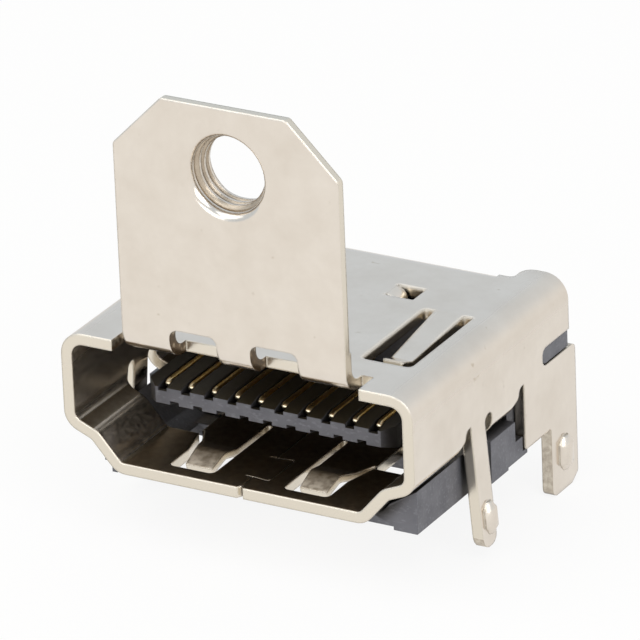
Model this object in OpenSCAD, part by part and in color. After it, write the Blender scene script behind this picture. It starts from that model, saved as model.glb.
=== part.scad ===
// Right-angle audio-video board socket: a folded sheet shell with a raised screw flange,
// a moulded housing with a contact tongue, a board base and two rows of contacts.
// X runs across the mouth, the mouth opens towards -Y, and the board's face is the plane Z = 0.

/* [Sheet] */
// Thickness of the shell's sheet
sheet = 0.45; // [0.35:0.05:0.5]
// Inner radius of the flange's and the flap's folds
fold_r = 0.5; // [0.35:0.05:0.7]
// Inner radius of the mouth's upper corners
corner_r = 0.5; // [0.4:0.05:0.9]
// Inner radius of the mouth's lower folds
shoulder_r = 0.35; // [0.2:0.05:0.45]
// Gap between the sheet's two edges where they meet under the mouth
seam_gap = 0.03; // [0.02:0.01:0.08]
// Angle between the steps of a drawn fold
fold_step = 10; // [6:1:15]

/* [Mouth] */
// Inner width of the plug opening
mouth_w = 14; // [13.8:0.1:15]
// Inner height of the plug opening
mouth_h = 4.55; // [4.4:0.05:5.2]
// Height of the shoulder above the mouth's floor
shoulder_h = 1.52; // [1.3:0.02:1.7]
// How far the shoulder steps in from the side wall
shoulder_in = 0.95; // [0.8:0.05:1.1]
// How far the shoulder falls over that step
shoulder_drop = 0.4; // [0.3:0.05:0.5]
// Width of the mouth's flat floor
floor_w = 10.16; // [9.8:0.04:10.4]

/* [Sleeve] */
// Depth of the closed sleeve
tube_d = 7.7; // [7.4:0.1:7.8]
// Depth of the roof and of the upper side walls
wall_d = 12.2; // [12:0.1:12.6]
// Height of the slot in the rear edge of each side wall
key_slot_h = 0.74; // [0.5:0.02:0.9]
// Height of that slot's lower edge above the board
key_slot_z = 3.1; // [2.95:0.05:3.4]
// Depth at which that slot begins
key_slot_y = 10.05; // [9.6:0.05:10.6]

/* [Flange] */
// Width of the raised flange
flange_w = 9.45; // [9:0.05:9.8]
// Thickness of the flange where it is coined flat
flange_t = 0.34; // [0.3:0.02:0.45]
// Height of the flange's top above the board
flange_top = 16.15; // [15:0.05:18]
// Corner cut of the flange
flange_cut = 2.1; // [1:0.05:2.8]
// Diameter of the tapped hole, over its thread
hole_d = 3; // [2.5:0.1:3.4]
// Height of the hole's axis above the board
hole_z = 13.5; // [12.5:0.05:13.9]
// Outer diameter of the drawn collar behind the hole
collar_d = 4; // [3.9:0.05:4.6]
// Length of the tapped wall, sheet and collar together
collar_len = 1.5; // [1.2:0.1:2]
// Radius of the rolled lead-in at the front of the hole
hole_lead = 0.34; // [0.1:0.02:0.36]
// Width of the relief notch beside the flange's root
relief_w = 0.5; // [0.3:0.05:0.6]
// Depth of that relief notch
relief_d = 1.15; // [1.1:0.05:1.4]
// Width of each window through the flange's fold
window_w = 2; // [1.6:0.05:2.2]
// Distance of each window's middle from the centre
window_x = 1.71; // [1.5:0.02:1.9]
// Height of the window's top above the roof
window_up = 0.9; // [0.7:0.05:1.4]
// Depth of the window in the roof
window_d = 1.3; // [1.15:0.05:1.5]

/* [Rear flap] */
// Width of the rear flap
flap_w = 10.1; // [9.6:0.1:10.2]
// Depth of the flap's outer face
flap_y = 11.8; // [11.6:0.05:11.9]
// Height of the flap's lower edge above the board
flap_bottom = 1.3; // [1.2:0.1:2]
// Width of the relief notch beside the flap
flap_relief = 0.6; // [0.4:0.05:0.7]

/* [Roof fingers] */
// Distance of each roof finger from the centre
roof_finger_x = 5.02; // [4.8:0.02:5.1]
// Width of a roof finger's window
roof_window_w = 2.1; // [1.9:0.05:2.2]
// Front edge of that window
roof_window_y = 2.45; // [2.2:0.05:2.8]
// Depth at which the finger leaves the roof
roof_root_y = 7.35; // [6.8:0.05:7.4]
// Width of the finger at its root
roof_root_w = 1.2; // [1:0.05:1.3]
// Width of the finger at its tip
roof_tip_w = 0.78; // [0.6:0.02:0.9]
// How far the finger dips under the roof
roof_dip = 0.36; // [0.2:0.02:0.45]
// Gap between the finger's tip and the window's front edge
roof_tip_gap = 0.4; // [0.3:0.05:0.6]

/* [Floor fingers] */
// Distance of each floor finger from the centre
floor_finger_x = 2.44; // [2.4:0.02:2.6]
// Width of a floor finger's window
floor_window_w = 1.92; // [1.8:0.02:2]
// Front edge of that window
floor_window_y = 0.62; // [0.55:0.01:0.9]
// Depth at which the pad leaves the floor
floor_root_y = 3; // [2.9:0.05:3.2]
// Depth of the slot on the finger's inner side
floor_slot_y = 5.2; // [4.8:0.1:5.6]
// Width of that slot
floor_slot_w = 0.27; // [0.2:0.01:0.32]
// Width of the finger's pad at its crest
floor_pad_w = 1.24; // [1.15:0.02:1.3]
// Width of the pad at its tip
floor_tip_w = 1.08; // [0.9:0.02:1.1]
// Thickness to which the pad is coined
floor_pad_t = 0.3; // [0.25:0.01:0.4]
// How far the pad's crest rises over the floor
floor_rise = 0.18; // [0.1:0.02:0.28]
// How far the pad's tip dips under the floor
floor_dip = 0.13; // [0.05:0.01:0.14]
// Gap between the pad's tip and the window's front edge
floor_tip_gap = 0.58; // [0.4:0.02:0.7]

/* [Lances] */
// Distance of each lance's fold from the centre
lance_x = 2.02; // [1.8:0.02:2.2]
// Width of the lance's window across the mouth
lance_w = 1.2; // [1:0.05:1.4]
// Depth at which the lance's window begins
lance_y = 7.85; // [7.75:0.05:8.1]
// Length of the lance's window
lance_len = 1.05; // [0.8:0.05:1.2]
// Angle at which the lance's tab is pushed down
lance_angle = 68; // [50:1:72]
// Length of the lance's tab
lance_tab = 0.75; // [0.6:0.05:0.85]

/* [Legs] */
// Gap between the board and the underside of the shell
standoff = 0.55; // [0.5:0.05:0.8]
// Length of the front legs under the board's face
leg_drop = 1.95; // [1.6:0.05:3.2]
// How far the front legs lean outwards
leg_lean = 0.38; // [0.1:0.02:0.5]
// Depth of the front leg's front edge
leg_y = 4.41; // [4.3:0.01:4.5]
// Width of the front leg
leg_w = 1.02; // [0.96:0.02:1.1]
// Width of the slots in front of the front leg and the rear plate
leg_slot_front = 0.42; // [0.34:0.01:0.44]
// Width of the slot behind the front leg
leg_slot_rear = 0.6; // [0.5:0.02:0.64]
// Height of the leg slots' tops above the board
leg_slot_z = 3.06; // [3:0.02:3.2]
// Front edge of the opening that the front leg was cut from
leg_window_y = 3.55; // [3.4:0.05:3.6]
// Distance from the centre to which that opening reaches across the floor
leg_window_x = 3.75; // [3.7:0.05:4.2]
// Depth of the rear plate's front edge
plate_y = 8.57; // [8.5:0.01:8.7]
// Depth of the rear plate's rear edge
plate_d = 12.65; // [12.4:0.05:12.8]
// Height of the rear plate's lower edge above the board
plate_bottom = 0.35; // [0.25:0.05:0.6]
// Length of the rear legs under the board's face
rear_leg_drop = 2.55; // [1.6:0.05:3.2]
// Width of the rear leg
rear_leg_w = 2.05; // [1.9:0.05:2.2]
// Height of the embossed ribs on the legs
emboss_h = 0.3; // [0.15:0.05:0.35]

/* [Tongue] */
// Depth of the tongue's front face
tongue_y = 2.25; // [2:0.05:2.6]
// Height of the tongue's middle above the mouth's floor
tongue_z = 1.95; // [1.8:0.05:2.1]
// Thickness of the tongue
tongue_t = 0.94; // [0.9:0.02:1.1]
// Thickness of the tongue's front face
tongue_nose = 0.66; // [0.5:0.02:0.8]
// Length of the tongue's front taper
tongue_taper = 0.55; // [0.3:0.05:0.8]
// Corner cut of the tongue's front
tongue_corner = 0.45; // [0.2:0.05:0.5]
// Width left outside the outermost contacts
tongue_margin = 0.75; // [0.6:0.05:0.9]
// Depth of the housing block's front face
block_y = 7.5; // [7.3:0.05:7.6]
// Depth of the housing block's rear face, between its wings
block_rear = 9.85; // [9.7:0.05:9.9]
// Gap left where one piece fits inside another
fit_gap = 0.05; // [0.03:0.01:0.08]

/* [Contacts] */
// Contacts on the tongue's upper side
upper_count = 10; // [10]
// Contacts on the tongue's lower side
lower_count = 9; // [9]
// Pitch of the contacts in a row
pitch = 1; // [0.95:0.01:1.05]
// Width of a contact on the tongue
contact_w = 0.28; // [0.26:0.02:0.46]
// Thickness of a contact
contact_t = 0.28; // [0.2:0.01:0.3]
// Width of a contact's tail
tail_w = 0.26; // [0.22:0.01:0.28]
// Depth of the contacts' tips
tip_y = 2.6; // [2.5:0.05:2.9]
// Height by which a contact stands proud of the tongue
proud = 0; // [0:0.01:0.1]
// How far a contact's tip dips into the tongue
nose_dip = 0.12; // [0.05:0.01:0.14]
// Inner radius of the contacts' bends
tail_r = 0.2; // [0.15:0.01:0.25]
// Depth of the lower tails' front faces
lower_tail_y = 10.05; // [10.05:0.01:10.1]
// Distance from the lower tails to the upper tails
tail_step = 0.45; // [0.4:0.01:0.5]
// How far the tails reach past the side walls' rear edges
tail_reach = 0.2; // [0:0.05:0.6]

/* [Base] */
// Depth of the rails' front faces
rail_y = 1.05; // [0.8:0.05:1.3]
// Distance of the rails' outer faces from the side walls' inner faces
rail_gap = 0.1; // [0.06:0.01:0.2]
// Width of each foot
foot_w = 1; // [0.7:0.05:1.05]
// Height of the rails' undersides between the feet
web_z = 0.14; // [0.1:0.02:0.3]
// Gap between the rails' tops and the sleeve over them
rail_drop = 0.3; // [0.1:0.05:0.4]
// Reach of the lugs between the legs, past the side walls' inner faces
lug_out = 0.33; // [0.2:0.01:0.35]
// Size of the cut in the left rail's front corner
corner_cut = 0.78; // [0.4:0.02:0.9]
// Depth of the front edge of the shelf under the sleeve
shelf_y = 5.8; // [5.4:0.05:6.2]
// Height of the rear bar
bar_h = 0.95; // [0.8:0.05:0.98]
// Depth of the rear bar's rear face
bar_rear = 11.1; // [11:0.05:11.15]

/* [Hidden] */
$fn = 64;
// Reach of a cutting shape past what it cuts
over = 1;
// Overlap that joins two stretches of one sheet
joint = 0.3;
half_w = mouth_w / 2;
floor_z = standoff + sheet;
roof_z = floor_z + mouth_h;
roof_top = roof_z + sheet;
side_x = half_w + sheet;
fold_y = flap_y - sheet - fold_r;
shoulder_x = half_w - shoulder_in;
shoulder_low = floor_z + shoulder_h - shoulder_drop;
flap_relief_y = fold_y + fold_r * 0.8;
leg_rear = leg_y + leg_w;
flare_z = floor_z + shoulder_h - shoulder_drop / 2;
leg_root = leg_slot_z - 0.26;
tongue_half = (upper_count - 1) / 2 * pitch + tongue_margin;
tongue_mid = floor_z + tongue_z;
upper_z = tongue_mid + tongue_t / 2 + proud;
lower_z = tongue_mid - tongue_t / 2 - proud;
upper_tail_y = lower_tail_y + tail_step;
tail_end = wall_d + tail_reach;
rail_x = half_w - rail_gap;
bar_y = tube_d + fit_gap;
lug_rear = tube_d + (plate_y - tube_d) * 0.3;
rear_leg_y = plate_d - rear_leg_w;
plate_root = min(wall_d, plate_d) - joint;
upper_x = [for (i = [0:upper_count - 1]) (i - (upper_count - 1) / 2) * pitch];
lower_x = [for (i = [0:lower_count - 1]) (i - (lower_count - 1) / 2) * pitch];

function numbered(row, i) = str(row, "_contact_", i < 9 ? "0" : "", i + 1);
upper_names = [for (i = [0:upper_count - 1]) numbered("upper", i)];
lower_names = [for (i = [0:lower_count - 1]) numbered("lower", i)];

// Outlines: a path is a list of [u, v, r], where r is the inner radius of the fold at that point.
function unit(v) = v / norm(v);
function spot(p) = [p[0], p[1]];
function left_of(a, b) = let (d = unit(spot(b) - spot(a))) [-d[1], d[0]];
function turns_left(a, b, c) = cross(spot(b) - spot(a), spot(c) - spot(b)) > 0;
function reversed(list) = [for (i = [len(list) - 1:-1:0]) list[i]];
function radius(p) = len(p) > 2 ? p[2] : 0;
function mirrored(path) = [for (p = reversed(path)) [-p[0], p[1], radius(p)]];

// The points of a fold of radius r at b, between the straight stretches from a and to c.
function fold(a, b, c, r) =
    let (
        u = unit(a - b),
        v = unit(c - b),
        half = acos(u * v) / 2,
        middle = b + unit(u + v) * r / sin(half),
        start = b + u * r / tan(half) - middle,
        from = atan2(start[1], start[0]),
        sweep = (turns_left(a, b, c) ? 1 : -1) * (180 - 2 * half),
        steps = ceil(abs(sweep) / fold_step)
    )
    [for (i = [0:steps]) middle + r * [cos(from + sweep * i / steps), sin(from + sweep * i / steps)]];

// The path's corner i, moved by d to the left of the path.
function shifted(path, i, d) =
    let (
        last = len(path) - 1,
        before = i > 0 ? left_of(path[i - 1], path[i]) : left_of(path[0], path[1]),
        after = i < last ? left_of(path[i], path[i + 1]) : before
    )
    spot(path[i]) + d * (before + after) / (1 + before * after);

// One face of a sheet of thickness t to the path's left (to its right where t is below 0), at distance d.
function face(path, d, t) =
    let (
        last = len(path) - 1,
        corners = [for (i = [0:last]) shifted(path, i, d)]
    )
    [for (i = [0:last])
        let (r = radius(path[i]))
        each i == 0 || i == last || r == 0 ? [corners[i]]
            : fold(corners[i - 1], corners[i], corners[i + 1],
                turns_left(path[i - 1], path[i], path[i + 1]) ? r + max(t, 0) - d : r - min(t, 0) + d)];

function folded_sheet(path, t) = concat(face(path, 0, t), reversed(face(path, t, t)));

// A closed outline whose corners have their own radii.
function rounded(path) =
    let (n = len(path))
    [for (i = [0:n - 1])
        let (b = path[i])
        each radius(b) == 0 ? [spot(b)]
            : fold(spot(path[(i + n - 1) % n]), spot(b), spot(path[(i + 1) % n]), radius(b))];

mouth_half = [
    [seam_gap / 2, floor_z],
    [floor_w / 2, floor_z, shoulder_r],
    [shoulder_x, shoulder_low, shoulder_r],
    [half_w, floor_z + shoulder_h, shoulder_r],
    [half_w, roof_z, corner_r]
];
mouth_path = concat(mouth_half, mirrored(mouth_half));

// Places an outline drawn in X and Z, from depth y0 to depth y1.
module along_y(y0, y1) {
    translate([0, y1, 0])
        rotate([90, 0, 0])
            linear_extrude(y1 - y0)
                children();
}

// Places an outline drawn in Y and Z, from x0 to x1.
module along_x(x0, x1) {
    translate([x0, 0, 0])
        rotate([90, 0, 90])
            linear_extrude(x1 - x0)
                children();
}

// Places an outline drawn in X and Y, from z0 to z1.
module along_z(z0, z1) {
    translate([0, 0, z0])
        linear_extrude(z1 - z0)
            children();
}

module block(from, to) {
    translate(from)
        cube(to - from);
}

module both_sides() {
    children();
    mirror([1, 0, 0])
        children();
}

// Shell

// The opening in the sleeve that the front leg was cut from, with its two relief slots.
module leg_window() {
    slot_front = leg_y - leg_slot_front;
    window_rear = leg_rear + leg_slot_rear;
    along_x(leg_window_x, side_x + over)
        polygon(rounded([
            [leg_window_y, -over],
            [window_rear, -over],
            [window_rear, leg_slot_z, leg_slot_rear * 0.4],
            [leg_rear, leg_slot_z, leg_slot_rear * 0.55],
            [leg_rear, leg_root],
            [leg_y, leg_root],
            [leg_y, leg_slot_z, leg_slot_front * 0.2],
            [slot_front, leg_slot_z, leg_slot_front * 0.7],
            [slot_front - 0.05, flare_z + 0.35, 0.3],
            [leg_window_y - 0.06, flare_z, 0.12]
        ]));
}

// Everything under the side wall behind the closed sleeve, with the slot in front of the rear plate.
module rear_opening() {
    slot_front = plate_y - leg_slot_front;
    along_x(-side_x - over, side_x + over)
        polygon(rounded([
            [tube_d, -over],
            [plate_d + over, -over],
            [plate_d + over, leg_root],
            [plate_y, leg_root],
            [plate_y, leg_slot_z, leg_slot_front * 0.2],
            [slot_front, leg_slot_z, leg_slot_front * 0.7],
            [slot_front - 0.05, flare_z + 0.35, 0.3],
            [tube_d - 0.06, flare_z, 0.12]
        ]));
}

// A finger's plan: wide at its root, narrower at its tip.
module finger_plan(x, root_y, root_w, tip_y, tip_w) {
    polygon([
        [x - root_w / 2, root_y + joint],
        [x - root_w / 2, root_y],
        [x - tip_w / 2, tip_y],
        [x + tip_w / 2, tip_y],
        [x + root_w / 2, root_y],
        [x + root_w / 2, root_y + joint]
    ]);
}

module window_plan(x, w, y0, y1) {
    polygon(rounded([
        [x - w / 2, y0, 0.25],
        [x + w / 2, y0, 0.25],
        [x + w / 2, y1, 0.12],
        [x - w / 2, y1, 0.12]
    ]));
}

// A spring finger cut from the roof: it slopes down into the mouth and curls up at its tip.
module roof_finger() {
    tip = roof_window_y + roof_tip_gap;
    intersection() {
        along_x(roof_finger_x - roof_root_w, roof_finger_x + roof_root_w)
            polygon(folded_sheet([
                [roof_root_y + joint, roof_z],
                [roof_root_y, roof_z, 1],
                [tip + 0.75, roof_z - roof_dip, 0.35],
                [tip, roof_z - 0.08]
            ], -sheet));
        along_z(roof_z - over, roof_top + over)
            finger_plan(roof_finger_x, roof_root_y, roof_root_w, tip - joint, roof_tip_w);
    }
}

// A spring finger cut from the floor: its pad rises to a crest and dips again at its tip.
module floor_finger() {
    tip = floor_window_y + floor_tip_gap;
    crest = tip + 0.95;
    inner = floor_finger_x - floor_window_w / 2 + floor_slot_w;
    outer = floor_finger_x + floor_pad_w / 2;
    intersection() {
        along_x(floor_finger_x - floor_window_w, floor_finger_x + floor_window_w)
            polygon(folded_sheet([
                [floor_root_y + joint, floor_z],
                [floor_root_y - 0.05, floor_z, 0.5],
                [crest, floor_z + floor_rise, 0.4],
                [tip, floor_z - floor_dip]
            ], floor_pad_t));
        along_z(floor_z - over, floor_z + over)
            polygon([
                [inner, floor_root_y + joint],
                [inner, floor_root_y],
                [floor_finger_x - floor_pad_w / 2, crest],
                [floor_finger_x - floor_tip_w / 2, tip - joint],
                [floor_finger_x + floor_tip_w / 2, tip - joint],
                [outer, crest],
                [outer + floor_slot_w, floor_root_y],
                [outer + floor_slot_w, floor_root_y + joint]
            ]);
    }
}

// The window round a floor finger's pad, with a slot on its inner side and another into the leg's opening.
module floor_window_plan() {
    inner = floor_finger_x - floor_window_w / 2;
    outer = floor_finger_x + floor_window_w / 2;
    polygon(rounded([
        [inner, floor_window_y, 0.25],
        [outer, floor_window_y, 0.25],
        [outer, floor_window_y + 1.5],
        [leg_window_x + 0.06, leg_window_y + 0.2],
        [leg_window_x - 0.1, leg_window_y + 0.2],
        [floor_finger_x + floor_pad_w / 2 + floor_slot_w, floor_root_y],
        [inner + floor_slot_w, floor_root_y],
        [inner + floor_slot_w, floor_slot_y, 0.12],
        [inner, floor_slot_y, 0.12]
    ]));
}

module lance_window() {
    along_z(roof_z - over, roof_top + over)
        polygon([
            [lance_x, lance_y],
            [lance_x + lance_w, lance_y],
            [lance_x + lance_w, lance_y + lance_len],
            [lance_x, lance_y + lance_len]
        ]);
}

// The lance's tab: a strip folded down from the window's inner edge.
module lance_tab_strip() {
    along_y(lance_y + fit_gap * 2, lance_y + lance_len - fit_gap * 2)
        polygon(folded_sheet([
            [lance_x - joint, roof_top],
            [lance_x + joint, roof_top, 0.12],
            [lance_x + joint + lance_tab * cos(lance_angle), roof_top - lance_tab * sin(lance_angle)]
        ], -sheet));
}

module dovetail_plan(grow) {
    reach = 0.72;
    neck = 0.88;
    head = 0.96;
    middle = 1.93;
    polygon(rounded([
        [-joint, middle - neck - grow],
        [0, middle - neck - grow, 0.12],
        [reach + grow, middle - head - grow, 0.12],
        [reach + grow, middle + head + grow, 0.12],
        [0, middle + neck + grow, 0.12],
        [-joint, middle + neck + grow]
    ]));
}

// The slot in the rear edge of the side wall, round at its inner end.
module key_slot_plan(grow) {
    z0 = key_slot_z - grow;
    z1 = key_slot_z + key_slot_h + grow;
    polygon(rounded([
        [key_slot_y - grow, z0, key_slot_h * 0.4],
        [plate_d + over, z0],
        [plate_d + over, z1],
        [key_slot_y - grow, z1, key_slot_h * 0.4]
    ]));
}

// The relief notch beside the flap, with the roof's corner rounded off behind it.
module flap_relief_plan() {
    edge = flap_w / 2 + flap_relief;
    polygon(rounded([
        [flap_w / 2 - joint, flap_relief_y],
        [edge, flap_relief_y, 0.25],
        [edge, wall_d, 0.5],
        [edge + over, wall_d],
        [edge + over, wall_d + over],
        [flap_w / 2 - joint, wall_d + over]
    ]));
}

// The folded sleeve, trimmed to its windows and its rear edges.
module sleeve() {
    difference() {
        along_y(0, wall_d)
            polygon(folded_sheet(mouth_path, -sheet));
        rear_opening();
        both_sides() {
            leg_window();
            along_z(roof_z - over / 2, roof_top + over)
                window_plan(roof_finger_x, roof_window_w, roof_window_y, roof_root_y);
            along_z(-over, floor_z + over / 2)
                floor_window_plan();
            lance_window();
        }
        // Room for the flange's root and its relief notches
        block([-flange_w / 2 - relief_w, -over, roof_z - fold_r], [flange_w / 2 + relief_w, relief_d, roof_top + over]);
        // Room for the flap's fold and its relief notches
        block([-flap_w / 2, fold_y, roof_z - fold_r], [flap_w / 2, wall_d + over, roof_top + over]);
        both_sides()
            along_z(roof_z - fold_r, roof_top + over)
                flap_relief_plan();
        along_z(0, floor_z + over / 2) {
            dovetail_plan(seam_gap);
            // The seam's front corners are broken
            polygon([[-0.14, -over], [0.14, -over], [0.14, 0], [0, 0.2], [-0.14, 0]]);
        }
    }
    along_z(floor_z - sheet, floor_z)
        dovetail_plan(0);
}

// The flange's outline: square at its root, with cut corners at its top.
module flange_outline() {
    half = flange_w / 2;
    polygon(rounded([
        [-half, roof_z - over],
        [half, roof_z - over],
        [half, flange_top - flange_cut, 0.3],
        [half - flange_cut, flange_top, 0.2],
        [flange_cut - half, flange_top, 0.2],
        [-half, flange_top - flange_cut, 0.3]
    ]));
}

// The flange: the roof's front edge folded up and coined, with windows in its fold and the drawn collar.
module flange() {
    window_z = roof_top + window_up;
    difference() {
        union() {
            intersection() {
                difference() {
                    along_x(-flange_w / 2, flange_w / 2)
                        polygon(folded_sheet([
                            [relief_d + joint, roof_z],
                            [0, roof_z, fold_r],
                            [0, flange_top]
                        ], -sheet));
                    block([-flange_w, flange_t, window_z + joint], [flange_w, relief_d + over, flange_top + over]);
                }
                along_y(-over, relief_d + over)
                    flange_outline();
            }
            translate([0, 0, hole_z])
                rotate([-90, 0, 0])
                    cylinder(d = collar_d, h = collar_len);
        }
        both_sides()
            along_y(-over, window_d)
                polygon(rounded([
                    [window_x - window_w / 2, roof_z - over],
                    [window_x + window_w / 2, roof_z - over],
                    [window_x + window_w / 2, window_z, 0.35],
                    [window_x - window_w / 2, window_z, 0.35]
                ]));
        translate([0, 0, hole_z])
            rotate([-90, 0, 0])
                tapped_hole();
    }
}

// The hole's bore, rolled over at its front edge.
module tapped_hole() {
    bore = hole_d / 2;
    rolled = [for (a = [0:15:90]) [bore + hole_lead * (1 - sin(a)), hole_lead * (1 - cos(a))]];
    rotate_extrude()
        polygon(concat(
            [[0, -over], [bore + hole_lead, -over]],
            rolled,
            [[bore, collar_len + over], [0, collar_len + over]]
        ));
}

// The rear cover: the roof's rear edge folded down.
module rear_flap() {
    along_x(-flap_w / 2, flap_w / 2)
        polygon(folded_sheet([
            [fold_y - joint, roof_z],
            [flap_y - sheet, roof_z, fold_r],
            [flap_y - sheet, flap_bottom]
        ], sheet));
}

// A rib pressed out of a leg, with tapered ends, leaning by the given angle about its middle.
module emboss(y, z0, z1, lean, wide) {
    half = (z1 - z0) / 2;
    translate([side_x, y, z0 + half])
        rotate([0, -lean, 0])
            scale([1, wide, 1])
            rotate_extrude()
                polygon([
                    [0, -half],
                    [emboss_h * 0.4, -half],
                    [emboss_h, -half + emboss_h],
                    [emboss_h, half - emboss_h],
                    [emboss_h * 0.4, half],
                    [0, half]
                ]);
}

// The front leg leans a little outwards, so that it grips in the board's slot.
module front_leg() {
    slant = leg_lean / (leg_root + leg_drop);
    reach = leg_drop + joint;
    intersection() {
        along_y(leg_y, leg_rear)
            polygon(folded_sheet([
                [half_w, leg_root + joint],
                [half_w, leg_root],
                [half_w + slant * (leg_root + reach), -reach]
            ], sheet));
        along_x(half_w - over, side_x + over)
            polygon([
                [leg_y - over, leg_root + over],
                [leg_y - over, -leg_drop + 0.45],
                [leg_y, -leg_drop + 0.45],
                [leg_y + 0.06, -leg_drop + 0.25],
                [leg_y + 0.2, -leg_drop + 0.07],
                [leg_y + 0.36, -leg_drop],
                [leg_rear - 0.36, -leg_drop],
                [leg_rear - 0.2, -leg_drop + 0.05],
                [leg_rear - 0.06, -leg_drop + 0.17],
                [leg_rear, -leg_drop + 0.32],
                [leg_rear + over, -leg_drop + 0.32],
                [leg_rear + over, leg_root + over]
            ]);
    }
    emboss_z = -leg_drop * 0.42;
    translate([slant * (leg_root - emboss_z), 0, 0])
        emboss(leg_rear - emboss_h * 1.35, emboss_z - 0.64, emboss_z + 0.64, atan(slant), 1.27);
}

// The plate behind the sleeve and the rear leg under it, in one flat stretch of sheet.
module rear_leg() {
    along_x(half_w, side_x)
        polygon(rounded([
            [plate_y, leg_root + joint],
            [plate_y, plate_bottom, 0.1],
            [rear_leg_y, plate_bottom, 0.12],
            [rear_leg_y, -rear_leg_drop, 0.36],
            [plate_d - 0.5, -rear_leg_drop, 0.2],
            [plate_d, -rear_leg_drop + 0.32, 0.2],
            [plate_d, key_slot_z, 0.25],
            [plate_root, key_slot_z],
            [plate_root, leg_root + joint]
        ]));
    emboss_z = -rear_leg_drop * 0.4;
    emboss((rear_leg_y + plate_d) / 2, emboss_z - 0.7, emboss_z + 0.7, 0, 1.5);
}

module shell() {
    color("#cfc9bf")
    difference() {
        union() {
            sleeve();
            flange();
            rear_flap();
            both_sides() {
                roof_finger();
                floor_finger();
                lance_tab_strip();
                front_leg();
                rear_leg();
            }
        }
        both_sides()
            along_x(half_w - over, side_x + over)
                key_slot_plan(0);
    }
}

// Housing

// The tongue's plan and section, with its front tapered and its front corners cut.
module tongue() {
    front = tongue_y;
    rear = block_y + joint;
    intersection() {
        along_x(-tongue_half, tongue_half)
            polygon([
                [rear, tongue_mid - tongue_t / 2],
                [rear, tongue_mid + tongue_t / 2],
                [front + tongue_taper, tongue_mid + tongue_t / 2],
                [front, tongue_mid + tongue_nose / 2],
                [front, tongue_mid - tongue_nose / 2],
                [front + tongue_taper, tongue_mid - tongue_t / 2]
            ]);
        along_z(floor_z, roof_z)
            polygon([
                [-tongue_half, rear],
                [-tongue_half, front + tongue_corner],
                [-tongue_half + tongue_corner, front],
                [tongue_half - tongue_corner, front],
                [tongue_half, front + tongue_corner],
                [tongue_half, rear]
            ]);
    }
}

// Grooves on the tongue, deeper under the contacts' tips, that carry on as channels through the block.
module contact_channels() {
    half = contact_w / 2 + fit_gap;
    dip = contact_t + nose_dip + fit_gap;
    dip_front = (tip_y - tongue_y) / 2;
    for (x = upper_x) {
        block([x - half, tongue_y - over, upper_z - contact_t], [x + half, block_rear + over, upper_z + fit_gap]);
        block([x - half, tip_y - dip_front, upper_z - dip], [x + half, tip_y + joint, upper_z + fit_gap]);
    }
    for (x = lower_x) {
        block([x - half, tongue_y - over, lower_z - fit_gap], [x + half, block_rear + over, lower_z + contact_t]);
        block([x - half, tip_y - dip_front, lower_z - fit_gap], [x + half, tip_y + joint, lower_z + dip]);
    }
}

module housing() {
    inner = half_w - fit_gap;
    wing = max(flap_w / 2, tongue_half - tongue_margin + tail_w / 2) + fit_gap;
    color("#4c4c52")
    difference() {
        union() {
            tongue();
            // The stretch inside the closed sleeve follows the mouth's own outline
            along_y(block_y, lug_rear + joint)
                polygon(face(mouth_path, fit_gap, -sheet));
            // The stretch behind it is square, between the side plates
            along_y(lug_rear + fit_gap, wall_d - fit_gap)
                polygon(rounded([
                    [-inner, bar_h],
                    [inner, bar_h],
                    [inner, roof_z, corner_r + fit_gap],
                    [-inner, roof_z, corner_r + fit_gap]
                ]));
            both_sides()
                along_x(inner - joint, side_x - fit_gap)
                    intersection() {
                        key_slot_plan(-fit_gap);
                        translate([key_slot_y, key_slot_z])
                            square([wall_d - fit_gap - key_slot_y, key_slot_h]);
                    }
        }
        // The space behind the block for the tails and the flap, between the wings
        block([-wing, block_rear, bar_h - over], [wing, wall_d + over, roof_top]);
        contact_channels();
        // Pockets for the lances
        both_sides()
            block([lance_x - joint, lance_y - joint, roof_z - sheet - lance_tab],
                [lance_x + lance_w, lance_y + lance_len + joint, roof_top]);
    }
}

// Base

module rail() {
    // Line under which the rail stays, from the shoulder's outer fold to the floor's outer fold
    top_z = shoulder_low - sheet + (rail_x - shoulder_x) * shoulder_drop / shoulder_in - rail_drop;
    inner_x = floor_w / 2 - joint;
    difference() {
        along_y(rail_y, bar_y + joint)
            polygon([
                [inner_x, web_z],
                [rail_x - foot_w, web_z],
                [rail_x - foot_w, 0],
                [rail_x, 0],
                [rail_x, top_z],
                [inner_x, web_z + joint]
            ]);
        along_y(0, plate_d)
            polygon(face(mouth_path, -sheet - fit_gap, -sheet));
    }
    // The lug that fills the space between the legs
    lug_y = leg_rear + leg_slot_rear;
    difference() {
        union() {
            block([rail_x - joint, lug_y, 0], [half_w + lug_out, lug_rear, top_z]);
            // Its lower part goes on to the rear plate, and a toe reaches under the plate
            block([rail_x - joint, lug_y, 0], [half_w + lug_out, plate_y - fit_gap, bar_h - fit_gap]);
            block([rail_x - joint, lug_y, 0], [half_w + lug_out, plate_y + joint, plate_bottom - fit_gap]);
        }
        block([rail_x, lug_rear - 0.6, -over], [half_w + over, plate_d, 0.1]);
        along_y(0, tube_d + joint)
            polygon(face(mouth_path, -sheet - fit_gap, -sheet));
    }
}

// Slots in the rear bar, open to the rear, that hold the tails in line.
module tail_slots(places, y) {
    half = tail_w / 2 + fit_gap;
    for (x = places)
        block([x - half, y - fit_gap, -over], [x + half, bar_rear + over, bar_h + over]);
}

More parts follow.
